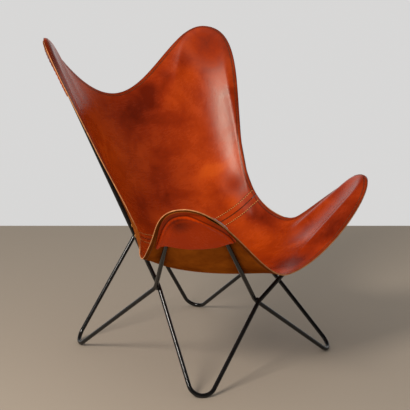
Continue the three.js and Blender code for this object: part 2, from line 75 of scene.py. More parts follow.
def shade(tree, kind, inputs=None, **options):
    """Adds a shader node, sets its options and fills its inputs with values or other nodes' outputs."""
    node = tree.nodes.new(kind)
    for name, value in options.items():
        setattr(node, name, value)
    for name, value in (inputs or {}).items():
        if isinstance(value, bpy.types.NodeSocket):
            tree.links.new(value, node.inputs[name])
        else:
            node.inputs[name].default_value = value
    return node


def colour_ramp(tree, share, *stops):
    """Colours that run into each other, each given with its position. Gives the colour at a share."""
    ramp = shade(tree, "ShaderNodeValToRGB", {"Fac": share})
    ends = ramp.color_ramp.elements
    (ends[0].position, ends[0].color), (ends[1].position, ends[1].color) = stops[0], stops[-1]
    for position, colour in stops[1:-1]:
        ramp.color_ramp.elements.new(position).color = colour
    return ramp.outputs["Color"]


def new_finish(name):
    """A material with an empty Principled surface. Gives the material, its nodes and the shader."""
    finish = bpy.data.materials.new(name)
    finish.use_nodes = True
    tree = finish.node_tree
    return finish, tree, tree.nodes["Principled BSDF"]


bpy.ops.mesh.primitive_plane_add(size=2)
floor = bpy.context.object
floor.name = "floor"
ahead = np.array([math.sin(CAMERA_TURN), math.cos(CAMERA_TURN), 0])
aside = np.array([math.cos(CAMERA_TURN), -math.sin(CAMERA_TURN), 0])
for vertex in floor.data.vertices:
    across, along = vertex.co.x, vertex.co.y
    reach = FLOOR_BEHIND if along > 0 else -FLOOR_REACH
    vertex.co = Vector(aside * across * FLOOR_REACH + ahead * reach)
floor_finish, tree, surface = new_finish("pale_floor")
surface.inputs["Base Color"].default_value = FLOOR_COLOUR
surface.inputs["Roughness"].default_value = FLOOR_ROUGHNESS
floor.data.materials.append(floor_finish)

world = bpy.data.worlds.new("pale_room")
world.use_nodes = True
scene.world = world
tree = world.node_tree
rays = shade(tree, "ShaderNodeLightPath")
seen = rays.outputs["Is Camera Ray"]
for ray in ("Is Glossy Ray", "Is Transmission Ray"):
    either = shade(tree, "ShaderNodeMath", {0: seen, 1: rays.outputs[ray]}, operation="MAXIMUM")
    seen = either.outputs[0]
way = shade(tree, "ShaderNodeTexCoord").outputs["Generated"]
rise = shade(tree, "ShaderNodeSeparateXYZ", {"Vector": way}).outputs["Z"]
room = colour_ramp(tree, rise, (WALL_TOP, WALL_COLOUR), (CEILING_FROM, CEILING_COLOUR))
towards = shade(tree, "ShaderNodeVectorMath", {0: way, 1: tuple(ahead)}, operation="DOT_PRODUCT")
dimmer = shade(
    tree, "ShaderNodeMapRange",
    {"Value": towards.outputs["Value"], "From Min": -0.3, "From Max": 0.5, "To Min": 0.1, "To Max": 1.0},
)
bright = shade(
    tree, "ShaderNodeMath",
    {0: dimmer.outputs["Result"], 1: rays.outputs["Is Camera Ray"]}, operation="MAXIMUM",
)
wall = shade(tree, "ShaderNodeBackground", {"Color": room, "Strength": bright.outputs[0]})
fill = tree.nodes["Background"]
fill.inputs["Color"].default_value = (1, 1, 1, 1)
fill.inputs["Strength"].default_value = FILL_STRENGTH
both = shade(tree, "ShaderNodeMixShader", {0: seen, 1: fill.outputs[0], 2: wall.outputs[0]})
tree.links.new(both.outputs[0], tree.nodes["World Output"].inputs["Surface"])

bpy.ops.object.light_add(type="AREA", location=WINDOW_PLACE)
window = bpy.context.object
window.name = "window_light"
beam = Vector(WINDOW_AIM) - Vector(WINDOW_PLACE)
window.rotation_euler = beam.to_track_quat("-Z", "Y").to_euler()
window.data.shape = "RECTANGLE"
window.data.size, window.data.size_y = WINDOW_SIZE
window.data.energy = WINDOW_POWER
window.data.color = WINDOW_COLOUR


# Rod loops
# Two closed loops of 12 mm steel rod, bent cold round four peaks and four feet and coated gloss black.
# Each kinks a little where it is welded to the other, and its feet are filed flat.
ROD_RADIUS = 0.006
FOOT_BEND = 0.036
PEAK_BEND = 0.064
CROSSING_BEND = 0.050
FOOT_FLAT = 0.0004
ROD_OFFSET = 0.0065
FITTING_ROUNDS = 6
LEFT, RIGHT = 1, -1
CROSSINGS = {
    "front": np.array([0, -0.227, 0.197]),
    "back": np.array([0, 0.257, 0.339]),
    "left": np.array([0.212, -0.049, 0.243]),
    "right": np.array([-0.212, -0.049, 0.243]),
}


def unit(v):
    return v / np.linalg.norm(v)


def front_peak(side):
    return np.array([side * 0.293, -0.288, 0.459])


def back_peak(side):
    return np.array([side * 0.276, 0.280, 0.825])


def front_foot(side):
    return np.array([side * 0.238, -0.254, FOOT_BEND])


def back_foot(side):
    return np.array([side * 0.223, 0.257, FOOT_BEND])


def crossing_normal(name):
    """Square to both rods of a crossing, away from the chair's middle."""
    climbs = {
        "front": (front_peak(RIGHT) - front_foot(LEFT), front_peak(LEFT) - front_foot(RIGHT)),
        "back": (back_peak(RIGHT) - back_foot(LEFT), back_peak(LEFT) - back_foot(RIGHT)),
        "left": (front_peak(LEFT) - back_foot(LEFT), back_peak(LEFT) - front_foot(LEFT)),
        "right": (front_peak(RIGHT) - back_foot(RIGHT), back_peak(RIGHT) - front_foot(RIGHT)),
    }
    normal = unit(np.cross(*climbs[name]))
    outside = CROSSINGS[name] * (1, 1, 0)
    return normal if normal @ outside > 0 else -normal


def bend_between(centre, radius, before, after, steps=40):
    """A round bend met by straight legs from one point and to another."""
    spokes = []
    for leg, other in ((before - centre, after - centre), (after - centre, before - centre)):
        along = unit(leg)
        away = unit(along * (other @ along) - other)
        turn = math.acos(radius / np.linalg.norm(leg))
        spokes.append(along * math.cos(turn) + away * math.sin(turn))
    first, last = spokes
    sweep = math.acos(first @ last)
    angle = np.linspace(0, sweep, steps + 1)[:, None]
    points = centre + radius * (np.sin(sweep - angle) * first + np.sin(angle) * last) / math.sin(sweep)
    return {
        "centre": centre, "radius": radius, "before": before, "after": after, "points": points,
        "axis": unit(np.cross(first, last)), "outward": unit(first + last),
    }


def kink_through(middle, before, after, steps=10):
    """The slight bend of a rod at a crossing, whose middle passes through a given point."""
    corner = middle
    for _ in range(FITTING_ROUNDS):
        arriving, leaving = unit(corner - before), unit(after - corner)
        half = math.acos(arriving @ leaving) / 2
        inward = unit(leaving - arriving)
        corner = middle - inward * CROSSING_BEND * (1 / math.cos(half) - 1)
    along = unit(arriving + leaving)
    angle = np.linspace(-half, half, steps + 1)[:, None]
    centre = middle + inward * CROSSING_BEND
    return corner, centre + CROSSING_BEND * (np.sin(angle) * along - np.cos(angle) * inward)


def loop_line(side, layers):
    """The middle line of one loop, from a front peak by the feet and the far back peak round again."""
    near, far = ("left", "right") if side == LEFT else ("right", "left")
    middles = [
        CROSSINGS[name] + crossing_normal(name) * layer * ROD_OFFSET
        for name, layer in zip((near, "back", far, "front"), layers)
    ]
    centres = [front_peak(side), back_foot(side), back_peak(-side), front_foot(-side)]
    radii = [PEAK_BEND, FOOT_BEND, PEAK_BEND, FOOT_BEND]
    corners = middles
    for _ in range(FITTING_ROUNDS):
        bends = [bend_between(centres[k], radii[k], corners[k - 1], corners[k]) for k in range(4)]
        kinks = [
            kink_through(middles[k], bends[k]["points"][-1], bends[(k + 1) % 4]["points"][0])
            for k in range(4)
        ]
        corners = [corner for corner, _ in kinks]
        for k in (1, 3):
            centres[k][2] = ROD_RADIUS - FOOT_FLAT + FOOT_BEND * math.sqrt(1 - bends[k]["axis"][2] ** 2)
    line = np.concatenate([part for k in range(4) for part in (bends[k]["points"], kinks[k][1])])
    return line, bends[0], bends[2]


def face_outwards():
    """Turns the faces of the active piece outwards and shades it smooth."""
    bpy.ops.object.mode_set(mode="EDIT")
    bpy.ops.mesh.select_all(action="SELECT")
    bpy.ops.mesh.normals_make_consistent(inside=False)
    bpy.ops.object.mode_set(mode="OBJECT")
    bpy.ops.object.shade_smooth()


def bent_rod(name, line):
    """A ring of points moved to the rod's middle line, thickened to a round bar."""
    bpy.ops.object.select_all(action="DESELECT")
    bpy.ops.mesh.primitive_circle_add(vertices=len(line), fill_type="NOTHING")
    rod = bpy.context.object
    rod.name = name
    rod.data.vertices.foreach_set("co", line.ravel())
    bpy.ops.object.convert(target="CURVE")
    rod = bpy.context.object
    rod.data.bevel_depth = ROD_RADIUS
    rod.data.bevel_resolution = 12
    bpy.ops.object.convert(target="MESH")
    rod = bpy.context.object
    for vertex in rod.data.vertices:
        vertex.co.z = max(vertex.co.z, 0)
    face_outwards()
    return rod


black_coat, tree, surface = new_finish("gloss_black_coat")
place = shade(tree, "ShaderNodeTexCoord").outputs["Object"]
broad = shade(tree, "ShaderNodeTexNoise", {"Vector": place, "Scale": 28, "Detail": 4, "Roughness": 0.6})
fine = shade(tree, "ShaderNodeTexNoise", {"Vector": place, "Scale": 620, "Detail": 3, "Roughness": 0.6})
tone = colour_ramp(
    tree, broad.outputs["Fac"], (0.3, (0.003, 0.003, 0.0031, 1)), (0.75, (0.008, 0.0078, 0.0075, 1))
)
gloss = shade(
    tree, "ShaderNodeMapRange",
    {"Value": broad.outputs["Fac"], "From Min": 0.3, "From Max": 0.7, "To Min": 0.15, "To Max": 0.27},
)
ripple = shade(
    tree, "ShaderNodeBump", {"Height": fine.outputs["Fac"], "Strength": 0.12, "Distance": 0.0004}
)
tree.links.new(tone, surface.inputs["Base Color"])
tree.links.new(gloss.outputs["Result"], surface.inputs["Roughness"])
tree.links.new(ripple.outputs["Normal"], surface.inputs["Normal"])
surface.inputs["Specular IOR Level"].default_value = 0.45

line_a, front_bend_a, back_bend_a = loop_line(RIGHT, (1, -1, -1, -1))
line_b, front_bend_b, back_bend_b = loop_line(LEFT, (1, 1, -1, 1))
for name, line in (("rod_loop_a", line_a), ("rod_loop_b", line_b)):
    rod = bent_rod(name, line)
    rod.data.materials.append(black_coat)
    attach(rod, "root")
    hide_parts(name.replace("rod", "frame"))


# Weld beads
# At each crossing a short bead of weld fills the corner between the two rods, coated with them. It is
# a flattened drop with the ripples of the weld pool across it.
WELD_LENGTH, WELD_WIDTH, WELD_HEIGHT = 0.019, 0.015, 0.0112
WELD_RIPPLE, WELD_LUMP = 0.035, 0.03
for name, middle in CROSSINGS.items():
    bpy.ops.object.select_all(action="DESELECT")
    bpy.ops.mesh.primitive_uv_sphere_add(segments=40, ring_count=24, radius=0.5)
    bead = bpy.context.object
    bead.name = f"bead_{name}"
    normal = crossing_normal(name)
    across = unit(np.cross(normal, (0, 0, 1)))
    upright = np.cross(across, normal)
    for vertex in bead.data.vertices:
        x, y, z = vertex.co
        swell = 1 + WELD_RIPPLE * math.sin(46 * z) + WELD_LUMP * math.sin(9 * x + 5 * y)
        vertex.co = Vector(
            middle + across * x * swell * WELD_WIDTH + upright * z * WELD_LENGTH
            + normal * y * swell * WELD_HEIGHT
        )
    face_outwards()
    bead.data.materials.append(black_coat)
    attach(bead, "root")
    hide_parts(f"weld_{name}")


# Hung leather
# The sling is saddle leather, 3 mm thick, held by its corners. Its hung shape is found here: the edge is
# held, the leather bellies between, most beside the dips of its sides, and the rods raise ridges in it.
LEATHER = 0.003
ROWS, COLUMNS, MIDDLE = 256, 192, 96
SEAM_ROW, SEAM_BOW, SEAM_SLANT = 111, 1.9, 6.0
TIP_LIFT = {
    ("front", LEFT): -0.004, ("front", RIGHT): 0.001,
    ("back", LEFT): -0.004, ("back", RIGHT): -0.005,
}
RIDGE_CLEAR = ROD_RADIUS + LEATHER / 2 + 0.0006
RIDGE_SETTLED = RIDGE_CLEAR - 0.0005
RIDGE_ROUND, RIDGE_HALF = 0.025, 0.019
ROD_NEAR, ROD_DEEP = 0.03, 0.1


def lobe_of(bend):
    """The rod round one peak: its stretches, its tip and the way it faces the sitter."""
    inward = bend["axis"] * np.sign(bend["axis"] @ (-bend["centre"] * (1, 1, 0)))
    line = np.vstack([bend["before"], bend["points"], bend["after"]])
    return {
        "inward": inward, "starts": line[:-1], "steps": np.diff(line, axis=0),
        "tip": bend["centre"] + bend["outward"] * bend["radius"], "outward": bend["outward"],
    }


LOBES = {
    ("front", LEFT): lobe_of(front_bend_b), ("front", RIGHT): lobe_of(front_bend_a),
    ("back", LEFT): lobe_of(back_bend_a), ("back", RIGHT): lobe_of(back_bend_b),
}


def beside_and_above(points, lobe):
    """How far points lie from a lobe's rod within its plane, and above that plane."""
    share = ((points[:, None] - lobe["starts"]) * lobe["steps"]).sum(2) / (lobe["steps"] ** 2).sum(1)
    offset = points[:, None] - (lobe["starts"] + np.clip(share, 0, 1)[..., None] * lobe["steps"])
    above = offset @ lobe["inward"]
    beside = np.sqrt(np.maximum((offset ** 2).sum(2) - above ** 2, 0))
    nearest = beside.argmin(1)
    pick = np.arange(len(points))
    return beside[pick, nearest], above[pick, nearest]


def near_rods(points):
    """Which points lie near each lobe's rod."""
    return [np.flatnonzero(beside_and_above(points, lobe)[0] < ROD_NEAR) for lobe in LOBES.values()]


def lift_over_rods(points, watch, clear=RIDGE_CLEAR, rounding=RIDGE_ROUND, half=RIDGE_HALF):
    """Leather that would sink below a rod lies over it in a round ridge."""
    for lobe, near in zip(LOBES.values(), watch):
        beside, above = beside_and_above(points[near], lobe)
        ridge = clear - beside ** 2 / (2 * rounding)
        low = (beside < half) & (above < ridge) & (above > -ROD_DEEP)
        points[near[low]] += lobe["inward"] * (ridge - above)[low][:, None]


def cubic(a, b, c, d, t):
    """Points of a curve between two ends and their handles."""
    t = np.asarray(t)[:, None]
    return (1 - t) ** 3 * a + 3 * (1 - t) ** 2 * t * b + 3 * (1 - t) * t * t * c + t ** 3 * d


def run_along(points):
    """The distance along a line of points, at each."""
    return np.r_[0, np.cumsum(np.linalg.norm(np.diff(points, axis=0), axis=1))]


def at_run(points, runs):
    """Points at given distances along a line of points."""
    done = run_along(points)
    return np.stack([np.interp(runs, done, points[:, k]) for k in range(3)], 1)


def between_points(grid, row, column):
    """Values read between the points of a grid."""
    j = np.clip(np.floor(row).astype(int), 0, grid.shape[0] - 2)
    i = np.clip(np.floor(column).astype(int), 0, grid.shape[1] - 2)
    b, a = (row - j)[..., None], (column - i)[..., None]
    near = grid[j, i] * (1 - a) + grid[j, i + 1] * a
    far = grid[j + 1, i] * (1 - a) + grid[j + 1, i + 1] * a
    return near * (1 - b) + far * b


# The sling hangs a little towards the sitter's right. For each side: where its edge dips, how far it goes
# past its front tip, how far beside both tips, and the handles that set how round it runs at each place.
EDGE_RUNS = {
    RIGHT: {
        "dip": (-0.294, -0.084, 0.353), "past_tip": 0.036, "beside_tip": -0.017, "back_beside": 0.009,
        "front_dip": 0.095, "tip_front": 0.110, "tip_side": 0.098,
        "dip_front": 0.080, "dip_back": 0.246, "back_side": 0.235,
    },
    LEFT: {
        "dip": (0.297, -0.085, 0.350), "past_tip": 0.015, "beside_tip": 0.011, "back_beside": 0,
        "front_dip": 0.165, "tip_front": 0.150, "tip_side": 0.135,
        "dip_front": 0.022, "dip_back": 0.270, "back_side": 0.208,
    },
}
BACK_PAST_TIP = 0.021
FRONT_DIP = np.array([-0.010, -0.347, 0.301])
TOP_DIP = np.array([0, 0.368, 0.712])
TOP_DIP_HANDLE, TOP_TIP_HANDLE = 0.134, 0.095
DIP_TURN, DIP_PITCH = math.radians(37), math.radians(13)
EDGE_RIDGE = {"rounding": 0.012, "half": 0.0135}
EDGE_RIDGE_SETTLED = {"rounding": 0.008, "half": 0.011}
EDGE_EASING = 12
# Used leather: how far the right side's edge strays from that run, sideways and upwards, along it.
STRAY_SIDEWAYS, STRAY_UPWARDS = np.array([0.719, -0.695, 0]), np.array([0.165, 0.171, 0.971])
STRAY_STEPS = (-0.012, -0.006, 0, 0.006, 0.012)
EDGE_STRAYS = np.array([
    (0, 0.0006, 0.0037), (0.035, -0.0042, 0.0068), (0.070, -0.0038, 0.0065), (0.105, 0.0002, 0.0037),
    (0.140, 0.0050, 0.0004), (0.180, 0.0066, -0.0015), (0.220, 0.0042, -0.0016), (0.260, 0.0017, -0.0016),
    (0.308, -0.0026, 0.0006), (0.338, -0.0069, 0.0024), (0.368, -0.0016, 0.0035), (0.398, 0.0073, 0.0038),
    (0.428, 0.0112, 0.0022), (0.468, 0.0082, 0), (0.508, 0.0065, 0), (0.568, 0.0031, -0.0005),
    (0.648, 0, -0.0009), (0.758, 0, 0),
])


def sling_edges(rows, half):
    """The held edges of the sling: front, top, right and left, which dip between the tips."""
    share, fine = np.linspace(0, 1, half + 1), np.linspace(0, 1, 400)
    fronts, tops, sides = {}, {}, {}
    for side, run in EDGE_RUNS.items():
        ways, tips = {}, {}
        for end, past, beside in (
            ("front", run["past_tip"], run["beside_tip"]),
            ("back", BACK_PAST_TIP, run["back_beside"]),
        ):
            lobe = LOBES[end, side]
            way = unit(np.cross(lobe["inward"], lobe["outward"]))
            ways[end] = way * -np.sign(way[0]) * side
            lifted = lobe["inward"] * TIP_LIFT[end, side]
            tips[end] = lobe["tip"] + lobe["outward"] * past + lifted + ways[end] * beside
        side_dip = np.array(run["dip"])
        level = math.cos(DIP_TURN)
        backward = np.array([
            -side * math.sin(DIP_TURN), level * math.cos(DIP_PITCH), level * math.sin(DIP_PITCH),
        ])
        out = np.array([side, 0, 0])
        fronts[side] = cubic(FRONT_DIP, FRONT_DIP + out * run["front_dip"],
                             tips["front"] + ways["front"] * run["tip_front"], tips["front"], share)
        tops[side] = cubic(TOP_DIP, TOP_DIP + out * TOP_DIP_HANDLE,
                           tips["back"] + ways["back"] * TOP_TIP_HANDLE, tips["back"], share)
        line = np.vstack([
            cubic(tips["front"], tips["front"] - ways["front"] * run["tip_side"],
                  side_dip - backward * run["dip_front"], side_dip, fine),
            cubic(side_dip, side_dip + backward * run["dip_back"],
                  tips["back"] - ways["back"] * run["back_side"], tips["back"], fine)[1:],
        ])
        runs = np.linspace(0, run_along(line)[-1], rows + 1)
        sides[side] = at_run(line, runs)
        if side == RIGHT:
            for step in STRAY_STEPS:
                sideways, upwards = (
                    np.interp(runs + step, EDGE_STRAYS[:, 0], EDGE_STRAYS[:, k])[:, None] for k in (1, 2)
                )
                sides[side] += (sideways * STRAY_SIDEWAYS + upwards * STRAY_UPWARDS) / len(STRAY_STEPS)
            fronts[side] += (sides[side][0] - fronts[side][-1]) * share[:, None] ** 3
    front = np.vstack([fronts[RIGHT][:0:-1], fronts[LEFT]])
    top = np.vstack([tops[RIGHT][:0:-1], tops[LEFT]])
    for edge in (front, top, sides[RIGHT], sides[LEFT]):
        watch = near_rods(edge)
        lift_over_rods(edge, watch, **EDGE_RIDGE)
        if rows == ROWS:
            for _ in range(EDGE_EASING):
                edge[1:-1] += 0.5 * ((edge[2:] + edge[:-2]) / 2 - edge[1:-1])
            lift_over_rods(edge, watch, RIDGE_SETTLED, **EDGE_RIDGE_SETTLED)
    return front, top, sides[RIGHT], sides[LEFT]


def doubled(sheet):
    """The same sheet with a point added midway between each two."""
    rows, columns = sheet.shape[0] * 2 - 1, sheet.shape[1] * 2 - 1
    finer = np.empty((rows, columns, 3))
    finer[::2, ::2] = sheet
    finer[1::2, ::2] = (sheet[1:] + sheet[:-1]) / 2
    finer[:, 1::2] = (finer[:, 2::2] + finer[:, :-2:2]) / 2
    return finer


def neighbours(sheet):
    """The four points beside each inner point of a sheet."""
    return sheet[1:-1, 2:], sheet[1:-1, :-2], sheet[2:, 1:-1], sheet[:-2, 1:-1]


# How the leather is hung: steps between grid points with their rounds, the first guess of the middle line,
# and the press that makes the belly: of the seat, of the back and, more, beside the dips of the sides.
HANG_LEVELS = ((8, 2500), (4, 900), (2, 500), (1, 260))
HANG_STEP = 0.8
GUESS_FRONT, GUESS_TOP = (0, 0.25, -0.05), (0, -0.1, -0.3)
SEAT_PRESS, BACK_PRESS, DIP_PRESS = 1.15, 0.92, 6
BACK_FROM, BACK_OVER = 0.35, 0.3
DIP_AT, DIP_REACH = 0.3, 0.12
LAST_EASING = 4


def hang_sling():
    """Lets the leather find its hung shape between its edges, first coarsely and then finer."""
    sheet = None
    for level, rounds in HANG_LEVELS:
        rows, half = ROWS // level, MIDDLE // level
        front, top, right, left = sling_edges(rows, half)
        along, across = np.linspace(0, 1, rows + 1), np.linspace(-1, 1, 2 * half + 1)[:, None]
        if sheet is None:
            middle = cubic(front[half], front[half] + GUESS_FRONT, top[half] + GUESS_TOP, top[half], along)
            sheet = right[:, None] * (1 - across) / 2 + left[:, None] * (1 + across) / 2
            sheet += (middle - sheet[:, half])[:, None] * (1 - np.abs(across))
        else:
            sheet = doubled(sheet)
        sheet[0], sheet[-1], sheet[:, 0], sheet[:, -1] = front, top, right, left
        along, across = along[1:-1, None, None], np.abs(across[1:-1])
        press = SEAT_PRESS + (BACK_PRESS - SEAT_PRESS) * np.clip((along - BACK_FROM) / BACK_OVER, 0, 1)
        press = press + DIP_PRESS * across ** 3 * np.exp(-((along - DIP_AT) / DIP_REACH) ** 2)
        inside = (rows - 1, 2 * half - 1, 3)
        for turn in range(rounds):
            outer, inner, behind, before = neighbours(sheet)
            belly = np.cross((behind - before) / 2, (outer - inner) / 2)
            settled = (outer + inner + behind + before) / 4 + press * belly
            sheet[1:-1, 1:-1] += HANG_STEP * (settled - sheet[1:-1, 1:-1])
            if turn % 100 == 0:
                watch = near_rods(sheet[1:-1, 1:-1].reshape(-1, 3))
            if turn % 4 == 3 or turn == rounds - 1:
                held = sheet[1:-1, 1:-1].reshape(-1, 3)
                lift_over_rods(held, watch)
                sheet[1:-1, 1:-1] = held.reshape(inside)
    for _ in range(LAST_EASING):
        outer, inner, behind, before = neighbours(sheet)
        sheet[1:-1, 1:-1] += 0.5 * ((outer + inner + behind + before) / 4 - sheet[1:-1, 1:-1])
    held = sheet[1:-1, 1:-1].reshape(-1, 3)
    lift_over_rods(held, watch, RIDGE_SETTLED)
    sheet[1:-1, 1:-1] = held.reshape(inside)
    return sheet


def bow_seam(sheet):
    """Shifts the rows along the hung leather, so that the seam bows forward and lies lower on the right."""
    row = np.arange(ROWS + 1.0)[:, None]
    across = np.linspace(-1, 1, COLUMNS + 1)
    share = np.where(row < SEAM_ROW, row / SEAM_ROW, (ROWS - row) / (ROWS - SEAM_ROW))
    place = row - (SEAM_BOW * (1 - across ** 2) + SEAM_SLANT * (1 - across) / 2) * share
    return between_points(sheet, place, np.broadcast_to(np.arange(COLUMNS + 1.0), place.shape))


def normals_of(sheet):
    """Unit normals of a grid of points, towards the sitter."""
    across = np.gradient(sheet, axis=1)
    along = np.gradient(sheet, axis=0)
    normal = np.cross(across, along)
    return normal / np.maximum(np.linalg.norm(normal, axis=2, keepdims=True), 1e-12)


sling = bow_seam(hang_sling())
sling_normals = normals_of(sling)


def nearest_run(points, line):
    """How far each point lies from a line of points."""
    best = np.full(len(points), np.inf)
    for start, step in zip(line[:-1], np.diff(line, axis=0)):
        share = np.clip((points - start) @ step / (step @ step), 0, 1)
        best = np.minimum(best, np.linalg.norm(points - start - share[:, None] * step, axis=1))
    return best


rim_line = np.concatenate([sling[0], sling[1:, -1], sling[-1, -2::-1], sling[-2:0:-1, 0], sling[0, :1]])
rim_distance = nearest_run(sling.reshape(-1, 3), rim_line[::2]).reshape(sling.shape[:2])
seam_distance = nearest_run(sling.reshape(-1, 3), sling[SEAM_ROW, ::4]).reshape(sling.shape[:2])


# Leather finish
# Cognac hide, smooth and polished by use on the grain side: burgundy brown and orange tan run into each
# other in broad patches, over fine marbling, streaks and pores. The flesh side is raw, the cut edge pale.
# Painted shade darkens the grooves, a band along the flesh side's edges and some patches; painted light
# brightens a few patches and the front pockets.
EDGE_ROW, SEAM_ROWS = 0.010, 0.0175
# Colours from the darkest to the brightest, then the brighter, redder one painted on the front pockets
# as light on their downward faces, of the burnished band along the edge, of the painted shade in the
# grooves under the stitches, of the rim and of the painted shade in the seam's groove.
HIDE_COLOURS = (
    (0.0, (0.12, 0.008, 0.0006, 1)), (0.30, (0.245, 0.019, 0.0004, 1)),
    (0.64, (0.40, 0.041, 0.0004, 1)), (1.0, (0.58, 0.083, 0.0004, 1)),
)
# Painted light: the front pockets face down, and this brighter, redder colour is mixed into their hide in
# place of light.
POCKET_PAINTED_LIGHT = (0.78, 0.062, 0.0003, 1)
BAND_COLOUR, GROOVE_SHADE_COLOUR = (0.13, 0.016, 0.002, 1), (0.05, 0.006, 0.002, 1)
RIM_COLOUR, SEAM_SHADE_COLOUR = (0.06, 0.012, 0.004, 1), (0.03, 0.004, 0.002, 1)
# Where each fades out, in distances from its middle or from the edge.
GROOVE_FADE, BAND_FADE, RIM_FADE = (0.0009, 0.0022), (0.0080, 0.0100), (0.0012, 0.0026)
EDGE_SHADE_FADE = (0.0085, 0.0135)
MARK_LIMITS = (-1.4, 1)
# Places where the hide is made darker (below nothing) or brighter: the place, its reach and how much.
# Some of them are painted shade and painted highlights, noted where they stand.
TONE_AND_LIGHT_PLACES = (
    # On the right edge, where the first four and the last are painted shade on the back right flap, and on
    # the front right pocket.
    ((-0.342, 0.228, 0.865), 0.030, -1.2), ((-0.338, 0.209, 0.830), 0.032, -1.2),
    ((-0.335, 0.180, 0.785), 0.030, -1.2), ((-0.326, 0.150, 0.735), 0.026, -0.8),
    ((-0.345, -0.285, 0.490), 0.034, -0.8), ((-0.285, -0.300, 0.450), 0.045, 0.5),
    ((-0.328, 0.266, 0.886), 0.028, -1.3),
    # On the upper back.
    ((0.056, 0.332, 0.672), 0.056, -0.75), ((0.114, 0.341, 0.714), 0.036, -0.6),
    ((0.170, 0.336, 0.758), 0.024, -0.7), ((-0.007, 0.321, 0.644), 0.055, -0.4),
    ((0.225, 0.288, 0.760), 0.032, 0.55), ((0.250, 0.262, 0.745), 0.035, 0.3),
    ((-0.144, 0.251, 0.590), 0.050, 0.2), ((0.172, 0.290, 0.682), 0.040, 0.4),
    ((0.213, 0.202, 0.594), 0.035, 0.3), ((-0.060, 0.290, 0.610), 0.040, 0.25),
    # The second on the next line darkens the back near its left tip, against the window's highlight there:
    # painted shade.
    ((0.230, 0.311, 0.811), 0.032, -0.2), ((0.295, 0.265, 0.848), 0.045, -0.5),
    # On the lower back.
    ((0.206, 0.086, 0.435), 0.034, -0.1), ((0.185, 0.095, 0.420), 0.032, -0.2),
    ((0.224, -0.004, 0.356), 0.034, -0.5), ((0.218, 0.139, 0.518), 0.050, 0.25),
    ((0.192, 0.139, 0.480), 0.050, 0.28), ((0.139, 0.170, 0.471), 0.055, 0.05),
    ((0.179, 0.015, 0.339), 0.026, 0.4), ((-0.115, 0.126, 0.407), 0.060, -0.25),
    ((0.067, 0.220, 0.499), 0.050, -0.25), ((0.129, 0.112, 0.401), 0.036, 0.45),
    ((0.195, 0.063, 0.399), 0.028, 1.0), ((0.155, 0.057, 0.363), 0.032, 0.4),
    ((-0.074, 0.193, 0.469), 0.040, 0.25), ((0.118, 0.192, 0.489), 0.036, -0.3),
    ((0.178, 0.105, 0.430), 0.030, 0.3),
    # On the seat.
    ((0.252, -0.038, 0.346), 0.032, -0.45), ((0.183, -0.034, 0.312), 0.040, 0.3),
    ((0.203, -0.361, 0.425), 0.042, -0.45), ((0.163, -0.340, 0.383), 0.042, -0.55),
    ((0.119, -0.321, 0.342), 0.045, -0.75), ((0.064, -0.312, 0.312), 0.045, -0.85),
    ((0.048, -0.268, 0.297), 0.050, -1.0), ((0.277, -0.356, 0.497), 0.030, -0.3),
    ((0.238, -0.158, 0.334), 0.035, 0.4), ((0.241, -0.090, 0.322), 0.032, -0.4),
    # The first on the next line is a painted highlight on the seat's left wing.
    ((0.205, -0.235, 0.360), 0.035, 0.35), ((0.091, -0.225, 0.294), 0.036, -0.5),
)
# Places that are less polished than the rest.
DULL_PLACES = (
    ((0.298, 0.252, 0.835), 0.062, 1.0), ((0.275, 0.295, 0.858), 0.045, 0.8),
    ((0.213, 0.081, 0.443), 0.030, 0.8), ((0.225, 0.024, 0.400), 0.030, 0.7),
)


def spread(points, places):
    """How strongly marked places reach to points."""
    total = np.zeros(points.shape[:-1])
    for middle, reach, strength in places:
        total += strength * np.exp(-((points - middle) ** 2).sum(-1) / reach ** 2)
    return np.clip(total, *MARK_LIMITS)


hide_tone = bpy.data.node_groups.new("hide_tone", "ShaderNodeTree")
for way, name, kind in (
    ("INPUT", "Place", "Vector"), ("INPUT", "Rim", "Float"), ("INPUT", "Seam", "Float"),
    ("INPUT", "ToneAndLight", "Float"), ("INPUT", "Dull", "Float"), ("INPUT", "PaintedLight", "Float"),
    ("OUTPUT", "Colour", "Color"), ("OUTPUT", "Roughness", "Float"), ("OUTPUT", "Height", "Float"),
):
    hide_tone.interface.new_socket(name=name, in_out=way, socket_type=f"NodeSocket{kind}")
tree = hide_tone
given = shade(tree, "NodeGroupInput")
place = given.outputs["Place"]


def math_node(kind, a, b, c=0.0):
    """A reckoning with values, in the tree at hand."""
    return shade(tree, "ShaderNodeMath", {0: a, 1: b, 2: c}, operation=kind).outputs[0]


def faded(value, near, far):
    """One up to a distance, falling to nothing at a farther one."""
    values = {"Value": value, "From Min": near, "From Max": far, "To Min": 1.0, "To Max": 0.0}
    return shade(tree, "ShaderNodeMapRange", values).outputs["Result"]


def tinted(share, under, over):
    """One colour laid over another by a share."""
    return shade(tree, "ShaderNodeMix", {0: share, 6: under, 7: over}, data_type="RGBA").outputs[2]


def noise(vector, scale, detail, roughness, distortion=0.0):
    """An uneven pattern, in the tree at hand."""
    values = {
        "Vector": vector, "Scale": scale, "Detail": detail,
        "Roughness": roughness, "Distortion": distortion,
    }
    return shade(tree, "ShaderNodeTexNoise", values).outputs["Fac"]


broad = noise(place, 3.8, 2, 0.45, 0.4)
cloudy = noise(place, 13, 4, 0.5, 0.8)
marbled = noise(place, 80, 5, 0.62, 0.5)
turned = shade(
    tree, "ShaderNodeMapping", {"Vector": place, "Rotation": (0.3, 0.2, 0.5), "Scale": (30, 240, 150)}
)
streaked = noise(turned.outputs["Vector"], 1.0, 4, 0.6, 0.6)
mixed = math_node("MULTIPLY", broad, 0.40)
